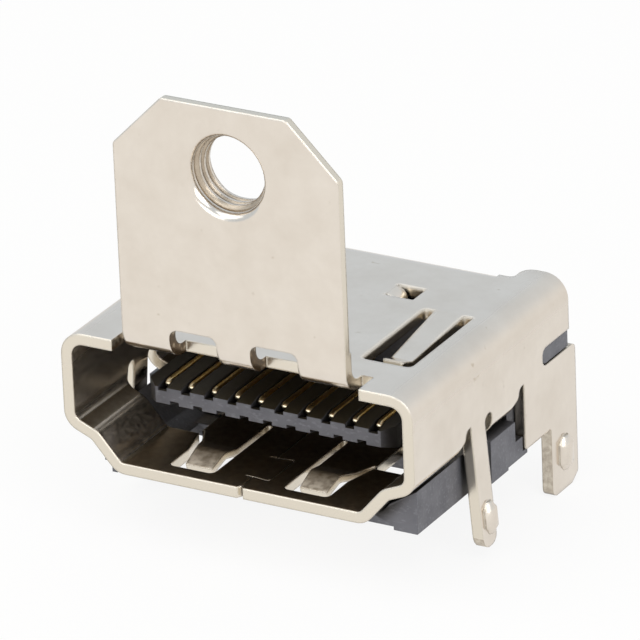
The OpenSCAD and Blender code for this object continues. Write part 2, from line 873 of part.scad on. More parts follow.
module base() {
    color("#45454b")
    union() {
        difference() {
            block([-rail_x, bar_y, 0], [rail_x, bar_rear, bar_h]);
            tail_slots(lower_x, lower_tail_y);
            tail_slots(upper_x, upper_tail_y);
            block([-flap_w / 2, bar_y + 2 * joint, -over], [flap_w / 2, lower_tail_y - joint, web_z]);
        }
        // The shelf under the sleeve, from foot to foot
        block([-rail_x + foot_w - joint, shelf_y, 0], [rail_x - foot_w + joint, bar_y + joint, standoff - fit_gap]);
        // Its left end reaches further forward
        block([-rail_x + foot_w - joint, shelf_y - 0.6, 0], [-leg_window_x, bar_y, standoff - fit_gap]);
        rail();
        difference() {
            mirror([1, 0, 0])
                rail();
            // The left rail's front corner is cut back
            block([-half_w, 0, -over], [-rail_x + corner_cut, rail_y + corner_cut, roof_z]);
        }
    }
}

// Contacts

// A contact strip: z is the outer face of its blade, and its tail drops at depth y and ends flat on the board.
module contact(x, z, y, upper) {
    thick = upper ? contact_t : -contact_t;
    nose = upper ? -nose_dip : nose_dip;
    bend = block_rear - joint;
    color("#c79a45") {
        along_x(x - contact_w / 2, x + contact_w / 2)
            polygon(folded_sheet([
                [bend, z],
                [tip_y + 0.22, z, 0.1],
                [tip_y, z + nose]
            ], thick));
        along_x(x - tail_w / 2, x + tail_w / 2)
            polygon(folded_sheet([
                [bend - joint, upper ? z : z + contact_t],
                [y + contact_t, upper ? z : z + contact_t, tail_r],
                [y + contact_t, contact_t, tail_r],
                [tail_end, contact_t]
            ], -contact_t));
    }
}

shell();
housing();
base();
for (i = [0:upper_count - 1])
    contact(upper_x[i], upper_z, upper_tail_y, true);
for (i = [0:lower_count - 1])
    contact(lower_x[i], lower_z, lower_tail_y, false);
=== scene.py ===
"""Looks of a right-angle audio-video board socket: plated shell, plastic insert and base, gold contacts."""

import logging
import math
from dataclasses import dataclass, field
from enum import Enum

import bmesh
import bpy
import numpy as np
from mathutils import Euler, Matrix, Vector


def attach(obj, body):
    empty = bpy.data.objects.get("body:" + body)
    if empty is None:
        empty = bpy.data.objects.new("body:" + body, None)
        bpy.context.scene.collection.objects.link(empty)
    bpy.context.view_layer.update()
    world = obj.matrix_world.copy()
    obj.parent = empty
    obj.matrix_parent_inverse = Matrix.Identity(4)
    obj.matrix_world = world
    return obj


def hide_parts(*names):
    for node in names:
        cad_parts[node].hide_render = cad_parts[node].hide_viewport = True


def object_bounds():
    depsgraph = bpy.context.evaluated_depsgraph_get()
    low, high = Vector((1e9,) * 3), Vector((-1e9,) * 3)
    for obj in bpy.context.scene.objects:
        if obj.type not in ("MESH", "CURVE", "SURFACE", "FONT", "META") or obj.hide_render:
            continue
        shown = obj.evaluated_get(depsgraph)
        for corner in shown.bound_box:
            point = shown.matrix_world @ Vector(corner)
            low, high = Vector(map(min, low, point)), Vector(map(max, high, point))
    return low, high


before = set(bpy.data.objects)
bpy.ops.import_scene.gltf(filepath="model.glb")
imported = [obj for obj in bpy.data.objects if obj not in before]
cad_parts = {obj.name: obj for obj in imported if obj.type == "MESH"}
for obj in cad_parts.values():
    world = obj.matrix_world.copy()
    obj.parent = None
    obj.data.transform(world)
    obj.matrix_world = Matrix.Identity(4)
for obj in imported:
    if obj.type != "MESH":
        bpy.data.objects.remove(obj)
CAD_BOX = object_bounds()

MM = 0.001
BODY = "root"
LOG = logging.getLogger("socket")
WHITE = "#FFFFFF"
# The values that a noise texture mostly keeps between
NOISE_LOW, NOISE_HIGH = 0.3, 0.7


class Slot(Enum):
    """The record's material slots."""

    SHEET = "shell_sheet"
    HOUSING = "housing_plastic"
    BASE = "base_plastic"
    CONTACT = "contact_gold"


class Row(Enum):
    """The two rows of contacts, above and below the tongue."""

    UPPER = "upper"
    LOWER = "lower"


class Mark(Enum):
    """Face attributes that tell the parts of a piece's surface apart."""

    CUT = "cut_edge"
    TORN = "torn_edge"
    INSIDE = "inside"
    SCUFFED = "scuffed"
    BENT = "bent"
    TONGUE_SHADE = "tongue_shade"


SHEET_MARKS = (Mark.CUT, Mark.TORN, Mark.INSIDE, Mark.SCUFFED, Mark.BENT)


def linear(colour: str) -> tuple[float, float, float, float]:
    """Turns an sRGB hex colour into linear light.

    Args:
        colour: six hex digits after a hash sign.

    Returns:
        Red, green, blue and an alpha of 1.
    """
    code = np.array([int(colour[i:i + 2], 16) for i in (1, 3, 5)]) / 255
    light = np.where(code <= 0.04045, code / 12.92, ((code + 0.055) / 1.055) ** 2.4)
    return (*light.tolist(), 1.0)


def per_mm(size_mm: float) -> float:
    """Scale of a noise whose blotches are size_mm wide, on coordinates in metres."""
    return 1.0 / (size_mm * MM)


def add_node(tree: bpy.types.NodeTree, kind: str, inputs: dict | None = None, **settings) -> bpy.types.Node:
    """Adds one node with its settings and links.

    Args:
        tree: the material's or world's node tree.
        kind: Blender's name for the kind of node.
        inputs: for each input's name or number, the socket that feeds it or its fixed value.
        settings: the node's own options.

    Returns:
        The new node.
    """
    node = tree.nodes.new(kind)
    for name, value in settings.items():
        setattr(node, name, value)
    for name, value in (inputs or {}).items():
        if isinstance(value, bpy.types.NodeSocket):
            tree.links.new(value, node.inputs[name])
        else:
            node.inputs[name].default_value = value
    return node


def new_material(name: str) -> tuple[bpy.types.Material, bpy.types.NodeTree, bpy.types.NodeSocket]:
    """Starts an empty material.

    Args:
        name: the material's name.

    Returns:
        The material, its node tree, and its surface socket.
    """
    material = bpy.data.materials.new(name)
    material.use_nodes = True
    tree = material.node_tree
    tree.nodes.clear()
    return material, tree, add_node(tree, "ShaderNodeOutputMaterial").inputs["Surface"]


@dataclass(frozen=True)
class PlatedSheet:
    """Bright nickel on stamped and folded brass sheet."""

    # Nickel over rolled strip gives a warm pale mirror that is slightly clouded, with a few pits and faint lines.
    # Where the punch tore the strip, the plate is thin and the brass shows brown through it.
    # Deep in the sleeve the plate is thin too, and its darker brown there is also painted shade; nooks get painted
    # shade.
    # The roof's openings were cut from above, so the upper part of their walls is burnished pale, without the torn
    # brown and the painted nook shade; their rounded lips get a painted highlight, near white.
    name: str = "nickel_plated_stamped_sheet"
    pale: str = "#E6DDD1"
    deep: str = "#DED4C7"
    stain: str = "#B9A98F"
    sheared: str = "#E1D8C8"
    torn: str = "#6E5A44"
    # The inside's browns: thin plate, and painted shade as well.
    thin_plate_and_shade: str = "#BFB099"
    thinnest_plate_and_shade: str = "#94816A"
    scuffed: str = "#DCD0BE"
    # Near white of the roof openings' rounded lips: a painted highlight.
    rolled: str = "#F4EDE1"
    # Darkest brown: painted shade in nooks, and the darkest torn ends of the flange's windows.
    darkest_brown: str = "#4A3A29"
    cloud_mm: float = 1.6
    pit_mm: float = 0.42
    peel_mm: float = 0.16
    tear_mm: float = 0.22
    nook_mm: float = 0.5
    roughness: float = 0.14
    cut_roughness: float = 0.26
    thin_roughness: float = 0.3
    scuffed_roughness: float = 0.45
    bent_roughness: float = 0.36
    edge_mm: float = 0.14
    lip_mm: float = 0.26
    bend_from_mm: tuple[float, float] = (6.1, 4.5)
    bend_fade_mm: float = 0.7
    burnish_from_mm: tuple[float, float] = (1.8, 5.74)
    burnish_fade_mm: float = 0.1
    pad_fade_mm: tuple[float, float] = (2.3, 1.4)
    dull_share: float = 0.6
    dusty_share: float = 0.5
    torn_share: float = 0.35
    rolled_share: float = 0.75
    pit_from: tuple[float, float] = (0.72, 0.82)
    pit_share: float = 0.55
    tear_from: tuple[float, float] = (0.35, 0.62)
    tear_least: float = 0.35
    darker_torn_from: tuple[float, float] = (0.9, 1.6)
    darker_torn_most: float = 0.85
    nook_open: tuple[float, float] = (0.2, 0.6)
    nook_share: float = 0.8
    lip_turn: tuple[float, float] = (0.99, 0.92)
    rough_spread: float = 0.03
    wave_strength: float = 0.05
    wave_height_mm: float = 0.05
    peel_strength: float = 0.08
    peel_height_mm: float = 0.01

    def material(self) -> bpy.types.Material:
        """Builds the plated sheet with its sheared edges, its thinly plated inside with painted shade, painted shade in
        nooks, painted highlights on the roof openings' lips, and its scuffed spring pads.
        """
        material, tree, surface = new_material(self.name)
        place = add_node(tree, "ShaderNodeTexCoord").outputs["Object"]
        cut, torn, inside, scuffed, bent = (
            add_node(tree, "ShaderNodeAttribute", attribute_name=mark.value).outputs["Fac"] for mark in SHEET_MARKS)
        cloud = add_node(tree, "ShaderNodeTexNoise", {
            "Vector": place, "Scale": per_mm(self.cloud_mm), "Detail": 4.0, "Roughness": 0.6}).outputs["Fac"]
        tone = add_node(tree, "ShaderNodeMapRange", {"Value": cloud, 1: NOISE_LOW, 2: NOISE_HIGH}).outputs[0]
        plate = add_node(tree, "ShaderNodeMix", {
            0: tone, 6: linear(self.deep), 7: linear(self.pale)}, data_type="RGBA").outputs[2]
        pit = add_node(tree, "ShaderNodeTexNoise", {
            "Vector": place, "Scale": per_mm(self.pit_mm), "Detail": 2.0}).outputs["Fac"]
        few, full = self.pit_from
        speck = add_node(tree, "ShaderNodeMapRange", {"Value": pit, 1: few, 2: full, 4: self.pit_share}).outputs[0]
        spotted = add_node(tree, "ShaderNodeMix", {
            0: speck, 6: plate, 7: linear(self.stain)}, data_type="RGBA").outputs[2]
        edged = add_node(tree, "ShaderNodeMix", {
            0: cut, 6: spotted, 7: linear(self.sheared)}, data_type="RGBA").outputs[2]
        tear = add_node(tree, "ShaderNodeTexNoise", {
            "Vector": place, "Scale": per_mm(self.tear_mm), "Detail": 3.0}).outputs["Fac"]
        few, full = self.tear_from
        bare = add_node(tree, "ShaderNodeMapRange", {
            "Value": tear, 1: few, 2: full, 3: self.tear_least, 4: 1.0}).outputs[0]
        place_x, place_y, place_z = add_node(tree, "ShaderNodeSeparateXYZ", {0: place}).outputs
        back, up = self.burnish_from_mm
        behind = add_node(tree, "ShaderNodeMapRange", {
            "Value": place_y, 1: back * MM, 2: (back + self.burnish_fade_mm) * MM}).outputs[0]
        near_top = add_node(tree, "ShaderNodeMapRange", {
            "Value": place_z, 1: up * MM, 2: (up + self.burnish_fade_mm) * MM}).outputs[0]
        burnished = add_node(tree, "ShaderNodeMath", {0: behind, 1: near_top}, operation="MULTIPLY").outputs[0]
        rough_cut = add_node(tree, "ShaderNodeMath", {0: 1.0, 1: burnished}, operation="SUBTRACT").outputs[0]
        ragged = add_node(tree, "ShaderNodeMath", {0: bare, 1: rough_cut}, operation="MULTIPLY").outputs[0]
        browned = add_node(tree, "ShaderNodeMath", {0: torn, 1: ragged}, operation="MULTIPLY").outputs[0]
        ripped = add_node(tree, "ShaderNodeMix", {
            0: browned, 6: edged, 7: linear(self.torn)}, data_type="RGBA").outputs[2]
        # Where the torn share passes 1, at the flange windows' ends, the torn edge is darkened further towards the
        # darkest brown.
        few, full = self.darker_torn_from
        darker_torn_share = add_node(tree, "ShaderNodeMapRange", {
            "Value": browned, 1: few, 2: full, 4: self.darker_torn_most}).outputs[0]
        darker_torn = add_node(tree, "ShaderNodeMix", {
            0: darker_torn_share, 6: ripped, 7: linear(self.darkest_brown)}, data_type="RGBA").outputs[2]
        # Inside the sleeve and in the hole's bore the colour turns darker brown: thin plate, and painted shade as well.
        lining = add_node(tree, "ShaderNodeMix", {
            0: tear, 6: linear(self.thinnest_plate_and_shade), 7: linear(self.thin_plate_and_shade)}, data_type="RGBA").outputs[2]
        lined = add_node(tree, "ShaderNodeMix", {0: inside, 6: darker_torn, 7: lining}, data_type="RGBA").outputs[2]
        crest, tip = self.pad_fade_mm
        worn_share = add_node(tree, "ShaderNodeMapRange", {"Value": place_y, 1: crest * MM, 2: tip * MM}).outputs[0]
        wiped = add_node(tree, "ShaderNodeMath", {0: scuffed, 1: worn_share}, operation="MULTIPLY").outputs[0]
        rubbed = add_node(tree, "ShaderNodeMath", {0: wiped, 1: bare}, operation="MULTIPLY").outputs[0]
        bright = add_node(tree, "ShaderNodeMix", {
            0: rubbed, 6: lined, 7: linear(self.scuffed)}, data_type="RGBA").outputs[2]
        # Painted shade: where the ambient occlusion finds a nook closed, the colour is darkened towards the darkest
        # brown, less on the burnished walls.
        open_share = add_node(tree, "ShaderNodeAmbientOcclusion", {
            "Distance": self.nook_mm * MM}, samples=8).outputs["AO"]
        shut, clear = self.nook_open
        nook = add_node(tree, "ShaderNodeMapRange", {
            "Value": open_share, 1: shut, 2: clear, 3: self.nook_share, 4: 0.0}).outputs[0]
        nook_shade = add_node(tree, "ShaderNodeMath", {0: nook, 1: rough_cut}, operation="MULTIPLY").outputs[0]
        nook_shaded = add_node(tree, "ShaderNodeMix", {
            0: nook_shade, 6: bright, 7: linear(self.darkest_brown)}, data_type="RGBA").outputs[2]
        side, height = self.bend_from_mm
        out = add_node(tree, "ShaderNodeMath", {0: place_x}, operation="ABSOLUTE").outputs[0]
        outer = add_node(tree, "ShaderNodeMapRange", {
            "Value": out, 1: side * MM, 2: (side + self.bend_fade_mm) * MM}).outputs[0]
        upper = add_node(tree, "ShaderNodeMapRange", {
            "Value": place_z, 1: height * MM, 2: (height + self.bend_fade_mm) * MM}).outputs[0]
        fold = add_node(tree, "ShaderNodeMath", {0: outer, 1: upper}, operation="MULTIPLY").outputs[0]
        fold_behind = add_node(tree, "ShaderNodeMath", {0: fold, 1: behind}, operation="MULTIPLY").outputs[0]
        edge = add_node(tree, "ShaderNodeMapRange", {
            "Value": burnished, 3: self.edge_mm * MM, 4: self.lip_mm * MM}).outputs[0]
        radius = add_node(tree, "ShaderNodeMix", {0: fold_behind, 2: edge, 3: 0.0}).outputs[0]
        soft = add_node(tree, "ShaderNodeBevel", {"Radius": radius}, samples=6).outputs["Normal"]
        facing = add_node(tree, "ShaderNodeNewGeometry").outputs["Normal"]
        turn = add_node(tree, "ShaderNodeVectorMath", {0: soft, 1: facing}, operation="DOT_PRODUCT").outputs["Value"]
        # Painted highlight: where the bevelled normal turns away from the face's own on the burnished roof openings,
        # the colour goes near white and the metal partly matt.
        level, tilted = self.lip_turn
        lip_highlight = add_node(tree, "ShaderNodeMapRange", {"Value": turn, 1: level, 2: tilted}).outputs[0]
        rolled = add_node(tree, "ShaderNodeMath", {0: lip_highlight, 1: burnished}, operation="MULTIPLY").outputs[0]
        lip_highlighted = add_node(tree, "ShaderNodeMix", {
            0: rolled, 6: nook_shaded, 7: linear(self.rolled)}, data_type="RGBA").outputs[2]
        worn = add_node(tree, "ShaderNodeMapRange", {
            "Value": cloud, 1: NOISE_LOW, 2: NOISE_HIGH,
            3: self.roughness + self.rough_spread, 4: self.roughness - self.rough_spread}).outputs[0]
        edge_rough = add_node(tree, "ShaderNodeMix", {0: cut, 2: worn, 3: self.cut_roughness}).outputs[0]
        inner_rough = add_node(tree, "ShaderNodeMix", {0: inside, 2: edge_rough, 3: self.thin_roughness}).outputs[0]
        rubbed_rough = add_node(tree, "ShaderNodeMix", {
            0: scuffed, 2: inner_rough, 3: self.scuffed_roughness}).outputs[0]
        stretched = add_node(tree, "ShaderNodeMath", {0: bent, 1: fold}, operation="MAXIMUM").outputs[0]
        rough = add_node(tree, "ShaderNodeMix", {0: stretched, 2: rubbed_rough, 3: self.bent_roughness}).outputs[0]
        dull = add_node(tree, "ShaderNodeMath", {0: rubbed, 1: self.dull_share}, operation="MULTIPLY").outputs[0]
        plain = add_node(tree, "ShaderNodeMath", {0: 1.0, 1: inside}, operation="SUBTRACT").outputs[0]
        wall = add_node(tree, "ShaderNodeMath", {0: inside, 1: plain}, operation="MULTIPLY").outputs[0]
        dusty = add_node(tree, "ShaderNodeMath", {0: wall, 1: bare}, operation="MULTIPLY").outputs[0]
        film = add_node(tree, "ShaderNodeMath", {
            0: dusty, 1: self.dusty_share, 2: dull}, operation="MULTIPLY_ADD").outputs[0]
        matt = add_node(tree, "ShaderNodeMath", {
            0: browned, 1: self.torn_share, 2: film}, operation="MULTIPLY_ADD").outputs[0]
        paled = add_node(tree, "ShaderNodeMath", {
            0: rolled, 1: self.rolled_share, 2: matt}, operation="MULTIPLY_ADD").outputs[0]
        metal = add_node(tree, "ShaderNodeMath", {
            0: 1.0, 1: paled}, operation="SUBTRACT", use_clamp=True).outputs[0]
        peel = add_node(tree, "ShaderNodeTexNoise", {
            "Vector": place, "Scale": per_mm(self.peel_mm), "Detail": 3.0}).outputs["Fac"]
        wave = add_node(tree, "ShaderNodeBump", {
            "Height": cloud, "Strength": self.wave_strength, "Distance": self.wave_height_mm * MM,
            "Normal": soft}).outputs["Normal"]
        grain = add_node(tree, "ShaderNodeBump", {
            "Height": peel, "Strength": self.peel_strength, "Distance": self.peel_height_mm * MM,
            "Normal": wave}).outputs["Normal"]
        shader = add_node(tree, "ShaderNodeBsdfPrincipled", {
            "Base Color": lip_highlighted, "Metallic": metal, "Roughness": rough, "Normal": grain})
        tree.links.new(shader.outputs["BSDF"], surface)
        return material


@dataclass(frozen=True)
class FilledPlastic:
    """Glass-filled plastic, moulded."""

    # Glass fibre under a moulded skin gives a satin slate grey with fine pale flecks and a little grain.
    # Between the contacts, on the tongue's upper and lower faces, the skin is painted nearly black: painted shade under
    # the sleeve's roof.
    name: str
    base: str = "#6A6A70"
    dark: str = "#5D5D63"
    fleck: str = "#88888E"
    # Nearly black of the tongue's faces under the roof: painted shade.
    tongue_shade: str = "#3A3324"
    # Black of the painted shade in recesses.
    recess_shade: str = "#0F0C08"
    cloud_mm: float = 0.7
    fleck_mm: float = 0.11
    recess_mm: float = 3.0
    roughness: float = 0.5
    edge_mm: float = 0.06
    fibre_stretch: tuple[float, float, float] = (0.45, 1.0, 1.0)
    fleck_from: tuple[float, float] = (0.55, 0.75)
    fleck_share: float = 0.6
    recess_open: tuple[float, float] = (0.22, 0.66)
    recess_share: float = 0.97
    rough_spread: float = 0.06
    grain_strength: float = 0.25
    grain_height_mm: float = 0.02
    ior: float = 1.52

    def material(self) -> bpy.types.Material:
        """Builds the plastic with its fibre flecks, clouding and moulded grain, and painted shade in recesses and on
        the tongue.
        """
        material, tree, surface = new_material(self.name)
        place = add_node(tree, "ShaderNodeTexCoord").outputs["Object"]
        flow = add_node(tree, "ShaderNodeMapping", {"Vector": place, "Scale": self.fibre_stretch}).outputs[0]
        cloud = add_node(tree, "ShaderNodeTexNoise", {
            "Vector": place, "Scale": per_mm(self.cloud_mm), "Detail": 4.0}).outputs["Fac"]
        tone = add_node(tree, "ShaderNodeMapRange", {"Value": cloud, 1: NOISE_LOW, 2: NOISE_HIGH}).outputs[0]
        body = add_node(tree, "ShaderNodeMix", {
            0: tone, 6: linear(self.dark), 7: linear(self.base)}, data_type="RGBA").outputs[2]
        fibre = add_node(tree, "ShaderNodeTexNoise", {
            "Vector": flow, "Scale": per_mm(self.fleck_mm), "Detail": 2.0}).outputs["Fac"]
        few, full = self.fleck_from
        share = add_node(tree, "ShaderNodeMapRange", {"Value": fibre, 1: few, 2: full, 4: self.fleck_share}).outputs[0]
        skin = add_node(tree, "ShaderNodeMix", {
            0: share, 6: body, 7: linear(self.fleck)}, data_type="RGBA").outputs[2]
        # Painted shade: where the ambient occlusion finds a recess closed, the colour is darkened towards black.
        open_share = add_node(tree, "ShaderNodeAmbientOcclusion", {
            "Distance": self.recess_mm * MM}, samples=8).outputs["AO"]
        shut, clear = self.recess_open
        depth = add_node(tree, "ShaderNodeMapRange", {
            "Value": open_share, 1: shut, 2: clear, 3: self.recess_share, 4: 0.0}).outputs[0]
        # Painted shade: the tongue's upper and lower faces under the sleeve's roof turn nearly black.
        tongue_shade_share = add_node(tree, "ShaderNodeAttribute", attribute_name=Mark.TONGUE_SHADE.value).outputs["Fac"]
        plain = add_node(tree, "ShaderNodeMix", {
            0: tongue_shade_share, 6: skin, 7: linear(self.tongue_shade)}, data_type="RGBA").outputs[2]
        shaded = add_node(tree, "ShaderNodeMix", {
            0: depth, 6: plain, 7: linear(self.recess_shade)}, data_type="RGBA").outputs[2]
        rough = add_node(tree, "ShaderNodeMapRange", {
            "Value": cloud, 1: NOISE_LOW, 2: NOISE_HIGH,
            3: self.roughness + self.rough_spread, 4: self.roughness - self.rough_spread}).outputs[0]
        soft = add_node(tree, "ShaderNodeBevel", {"Radius": self.edge_mm * MM}, samples=6).outputs["Normal"]
        grain = add_node(tree, "ShaderNodeBump", {
            "Height": fibre, "Strength": self.grain_strength, "Distance": self.grain_height_mm * MM,
            "Normal": soft}).outputs["Normal"]
        shader = add_node(tree, "ShaderNodeBsdfPrincipled", {
            "Base Color": shaded, "Roughness": rough, "IOR": self.ior, "Normal": grain})
        tree.links.new(shader.outputs["BSDF"], surface)
        return material


@dataclass(frozen=True)
class PlatedContact:
    """Gold over nickel on stamped bronze strip, with tinned tails."""

    # A flash of gold gives a soft yellow metal on the contact end, and dipped tin a pale grey one on the tail.
    # The nose, over which the plug slides, is painted near white: rubbed paler, and a painted highlight where the tips
    # catch the light.
    name: str = "gold_plated_stamped_strip"
    gold: str = "#EFCB84"
    deep_gold: str = "#D2A352"
    # Near white of the nose: rubbing wear and a painted highlight.
    worn: str = "#FFF0CE"
    tin: str = "#C9C7C2"
    nose_mm: tuple[float, float] = (2.95, 2.65)
    cloud_mm: float = 0.35
    tinned_from_mm: float = 9.3
    fade_mm: float = 0.25
    roughness: tuple[float, float] = (0.36, 0.26)
    grain_strength: float = 0.12
    grain_height_mm: float = 0.02

    def material(self) -> bpy.types.Material:
        """Builds the contact's plating, gold in front and tin from the tail's bend."""
        material, tree, surface = new_material(self.name)
        place = add_node(tree, "ShaderNodeTexCoord").outputs["Object"]
        depth = add_node(tree, "ShaderNodeSeparateXYZ", {0: place}).outputs["Y"]
        cloud = add_node(tree, "ShaderNodeTexNoise", {
            "Vector": place, "Scale": per_mm(self.cloud_mm), "Detail": 3.0}).outputs["Fac"]
        tone = add_node(tree, "ShaderNodeMapRange", {"Value": cloud, 1: NOISE_LOW, 2: NOISE_HIGH}).outputs[0]
        gold = add_node(tree, "ShaderNodeMix", {
            0: tone, 6: linear(self.deep_gold), 7: linear(self.gold)}, data_type="RGBA").outputs[2]
        # Towards the front the nose goes near white: rubbing wear and a painted highlight.
        behind, front = self.nose_mm
        nose_rub_and_highlight = add_node(tree, "ShaderNodeMapRange", {"Value": depth, 1: behind * MM, 2: front * MM}).outputs[0]
        rubbed = add_node(tree, "ShaderNodeMix", {
            0: nose_rub_and_highlight, 6: gold, 7: linear(self.worn)}, data_type="RGBA").outputs[2]
        tinned = add_node(tree, "ShaderNodeMapRange", {
            "Value": depth, 1: self.tinned_from_mm * MM, 2: (self.tinned_from_mm + self.fade_mm) * MM}).outputs[0]
        plate = add_node(tree, "ShaderNodeMix", {
            0: tinned, 6: rubbed, 7: linear(self.tin)}, data_type="RGBA").outputs[2]
        most, least = self.roughness
        rough = add_node(tree, "ShaderNodeMapRange", {
            "Value": cloud, 1: NOISE_LOW, 2: NOISE_HIGH, 3: most, 4: least}).outputs[0]
        grain = add_node(tree, "ShaderNodeBump", {
            "Height": cloud, "Strength": self.grain_strength,
            "Distance": self.grain_height_mm * MM}).outputs["Normal"]
        shader = add_node(tree, "ShaderNodeBsdfPrincipled", {
            "Base Color": plate, "Metallic": 1.0, "Roughness": rough, "Normal": grain})
        tree.links.new(shader.outputs["BSDF"], surface)
        return material


@dataclass(frozen=True)
class WhiteSweep:
    """Matt white paper under the part."""

    # Lit paper reads as plain white with the part's soft shadow; its back is open, so that views from below see past.
    # In the metal it dims a little behind the part, away from the lamps.
    name: str = "matt_white_paper"
    paper: str = "#F7F7F5"
    glow: float = 0.88
    behind: float = 0.93
    fade_mm: float = 12.0

    def material(self) -> bpy.types.Material:
        """Builds the paper: its white shows to the camera and in the metal, and its lit share takes the shadow."""
        material, tree, surface = new_material(self.name)
        path = add_node(tree, "ShaderNodeLightPath").outputs
        mirrored = add_node(tree, "ShaderNodeMath", {
            0: path["Is Glossy Ray"], 1: path["Is Transmission Ray"]}, operation="MAXIMUM").outputs[0]
        seen = add_node(tree, "ShaderNodeMath", {0: path["Is Camera Ray"], 1: mirrored}, operation="MAXIMUM").outputs[0]
        share = add_node(tree, "ShaderNodeMath", {0: seen, 1: self.glow}, operation="MULTIPLY").outputs[0]
        lit = add_node(tree, "ShaderNodeBsdfDiffuse", {"Color": linear(self.paper)}).outputs[0]
        place = add_node(tree, "ShaderNodeTexCoord").outputs["Object"]
        along = add_node(tree, "ShaderNodeSeparateXYZ", {0: place}).outputs["Y"]
        fall = add_node(tree, "ShaderNodeMapRange", {
            "Value": along, 1: -self.fade_mm * MM, 2: self.fade_mm * MM, 3: 1.0, 4: self.behind}).outputs[0]
        level = add_node(tree, "ShaderNodeMath", {
            0: path["Is Camera Ray"], 1: fall}, operation="MAXIMUM").outputs[0]
        white = add_node(tree, "ShaderNodeEmission", {"Strength": level}).outputs[0]
        front = add_node(tree, "ShaderNodeMixShader", {0: share, 1: lit, 2: white}).outputs[0]
        under = add_node(tree, "ShaderNodeNewGeometry").outputs["Backfacing"]
        clear = add_node(tree, "ShaderNodeBsdfTransparent").outputs[0]
        tree.links.new(add_node(tree, "ShaderNodeMixShader", {0: under, 1: front, 2: clear}).outputs[0], surface)
        return material


@dataclass(frozen=True)
class Rounding:
    """The small radius that stamping, moulding or plating leaves on a piece's edges."""

    width_mm: float
    segments: int = 2
    from_degrees: float = 32.0

    def apply(self, piece: bpy.types.Object) -> None:
        """Rounds the piece's edges and keeps its flat faces flat.

        Args:
            piece: the piece to finish.
        """
        edge = piece.modifiers.new("edge_radius", "BEVEL")
        edge.width = self.width_mm * MM
        edge.segments = self.segments
        edge.limit_method = "ANGLE"
        edge.angle_limit = math.radians(self.from_degrees)
        edge.use_clamp_overlap = False
        keep_flat(piece)


def keep_flat(piece: bpy.types.Object) -> None:
    """Keeps the shading of a piece's broad faces flat, up to the folds beside them."""
    flat = piece.modifiers.new("flat_faces", "WEIGHTED_NORMAL")
    flat.mode = "FACE_AREA"
    flat.weight = 100
    flat.keep_sharp = True


def show(name: str, mesh: bpy.types.Mesh, material: bpy.types.Material, slot: Slot, *nodes: str) -> bpy.types.Object:
    """Puts a finished mesh into the scene.

    Args:
        name: the piece's name.
        mesh: the mesh, in its place.
        material: its finish.
        slot: the record's slot that the finish belongs to; not used.
        nodes: the CAD nodes that the piece stands for.

    Returns:
        The piece.
    """
    mesh.materials.clear()
    mesh.materials.append(material)
    piece = bpy.data.objects.new(name, mesh)
    bpy.context.scene.collection.objects.link(piece)
    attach(piece, BODY)
    if nodes:
        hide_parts(*nodes)
    LOG.info("%s: %d faces, %s", name, len(mesh.polygons), material.name)
    return piece


def whole_faces(node: str, weld_mm: float = 0.002, flat_degrees: float = 0.4,
                crease_degrees: float = 25.0) -> bpy.types.Mesh:
    """Copies a CAD node with its loose triangles welded and joined into whole flat faces.

    Args:
        node: the CAD node's name.
        weld_mm: the distance within which corners are one.
        flat_degrees: the angle below which neighbouring triangles are one face.
        crease_degrees: the angle above which an edge is shaded sharp.

    Returns:
        The new mesh, smooth over its folds.
    """
    body = bmesh.new()
    body.from_mesh(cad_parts[node].data)
    bmesh.ops.remove_doubles(body, verts=body.verts, dist=weld_mm * MM)
    bmesh.ops.dissolve_degenerate(body, edges=body.edges, dist=weld_mm * MM)
    bmesh.ops.dissolve_limit(body, angle_limit=math.radians(flat_degrees), verts=body.verts, edges=body.edges)
    mesh = bpy.data.meshes.new(node + "_finished")
    body.to_mesh(mesh)
    body.free()
    mesh.polygons.foreach_set("use_smooth", np.ones(len(mesh.polygons), bool))
    mesh.set_sharp_from_angle(angle=math.radians(crease_degrees))
    return mesh


def triangles(mesh: bpy.types.Mesh) -> tuple[np.ndarray, np.ndarray]:
    """Reads a mesh as triangles.

    Args:
        mesh: any mesh.

    Returns:
        The corners as an array of triangle, corner and axis, and the face that each triangle belongs to.
    """
    mesh.calc_loop_triangles()
    corners = np.empty(len(mesh.vertices) * 3, np.float32)
    mesh.vertices.foreach_get("co", corners)
    index = np.empty(len(mesh.loop_triangles) * 3, np.int32)
    mesh.loop_triangles.foreach_get("vertices", index)
    owner = np.empty(len(mesh.loop_triangles), np.int32)
    mesh.loop_triangles.foreach_get("polygon_index", owner)
    return corners.reshape(-1, 3).astype(float)[index.reshape(-1, 3)], owner


def face_places(mesh: bpy.types.Mesh) -> tuple[np.ndarray, np.ndarray]:
    """Reads where a mesh's faces lie.

    Args:
        mesh: any mesh.

    Returns:
        The faces' middles in millimetres and their normals, each as an array of face and axis.
    """
    middle, normal = (np.empty(len(mesh.polygons) * 3, np.float32) for _ in range(2))
    mesh.polygons.foreach_get("center", middle)
    mesh.polygons.foreach_get("normal", normal)
    return middle.reshape(-1, 3) / MM, normal.reshape(-1, 3)


def mark_faces(mesh: bpy.types.Mesh, marks: dict[Mark, np.ndarray]) -> None:
    """Writes marks on a mesh's faces.

    Args:
        mesh: the mesh to mark.
        marks: for each mark, its share on every face, from 0 to 1, or more where it goes deep.
    """
    for mark, share in marks.items():
        mesh.attributes.new(mark.value, "FLOAT", "FACE").data.foreach_set("value", share.astype(np.float32))


